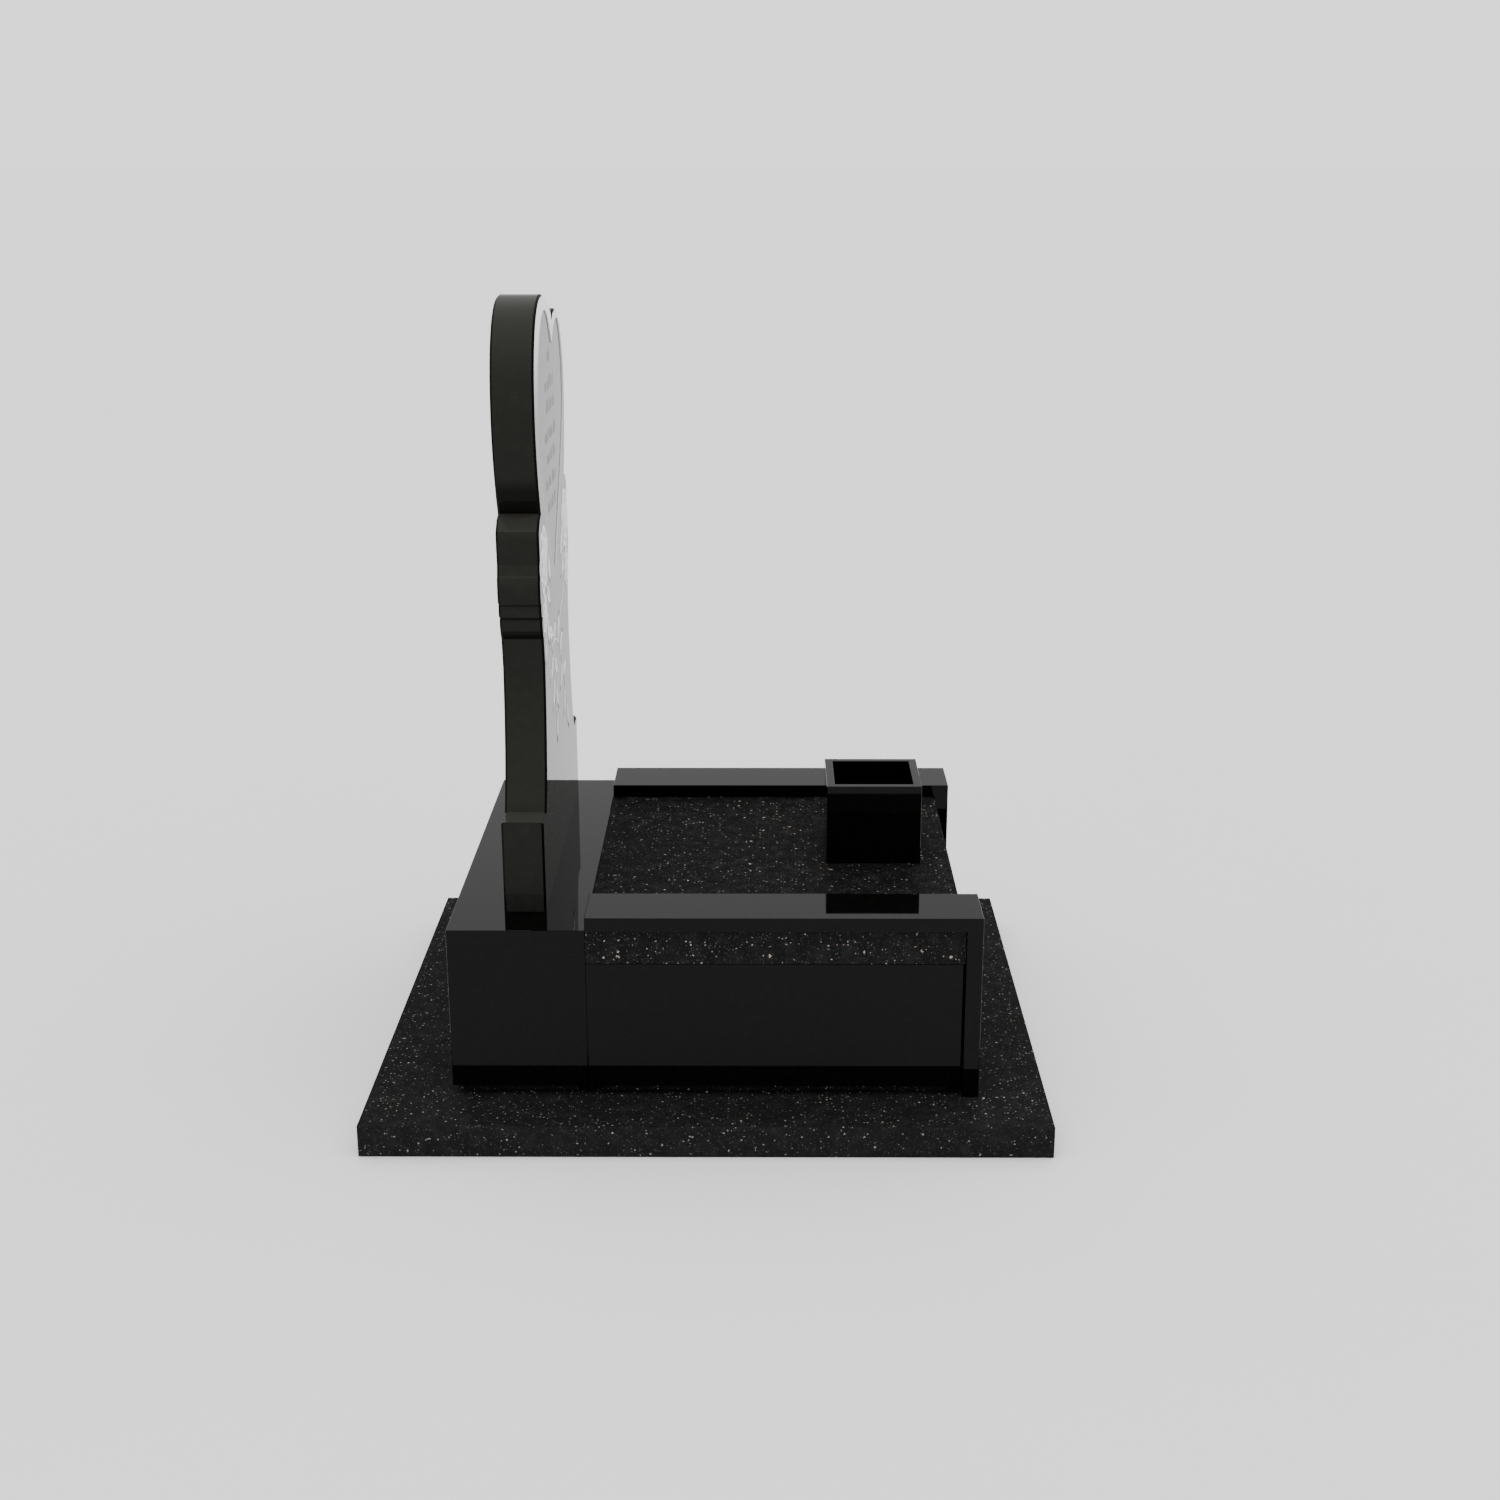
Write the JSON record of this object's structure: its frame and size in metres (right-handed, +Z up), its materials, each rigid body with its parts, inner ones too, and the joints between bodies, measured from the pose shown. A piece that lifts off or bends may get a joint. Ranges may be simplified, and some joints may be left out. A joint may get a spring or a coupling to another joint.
{
  "type": "heart headstone with kerbed grave surround",
  "caption": "Upright black granite headstone with a heart-shaped top, on a plinth with kerbs, a cover slab, side rails and a square flower vase",
  "frame": {"origin": "middle of the foundation slab's underside, at ground level", "axes": "+X runs from the headstone to the foot of the grave, and the headstone's front faces +X. -Y is a front viewer's left hand. +Z is up."},
  "size_m": [1.2, 1.065, 1.4213],
  "materials": {
    "speckled_black_granite": "polished black granite with small white, golden and pinkish flecks",
    "polished_black_granite": "mirror-polished jet black granite"
  },
  "bodies": {
    "root": {"foundation_slab": "speckled_black_granite", "headstone_plinth": "polished_black_granite", "left_kerb": "polished_black_granite", "right_kerb": "polished_black_granite", "foot_kerb": "polished_black_granite", "cover_slab": "speckled_black_granite", "left_rail": "polished_black_granite", "right_rail": "polished_black_granite", "headstone": "polished_black_granite", "flower_vase": "polished_black_granite"}
  },
  "joints": []
}
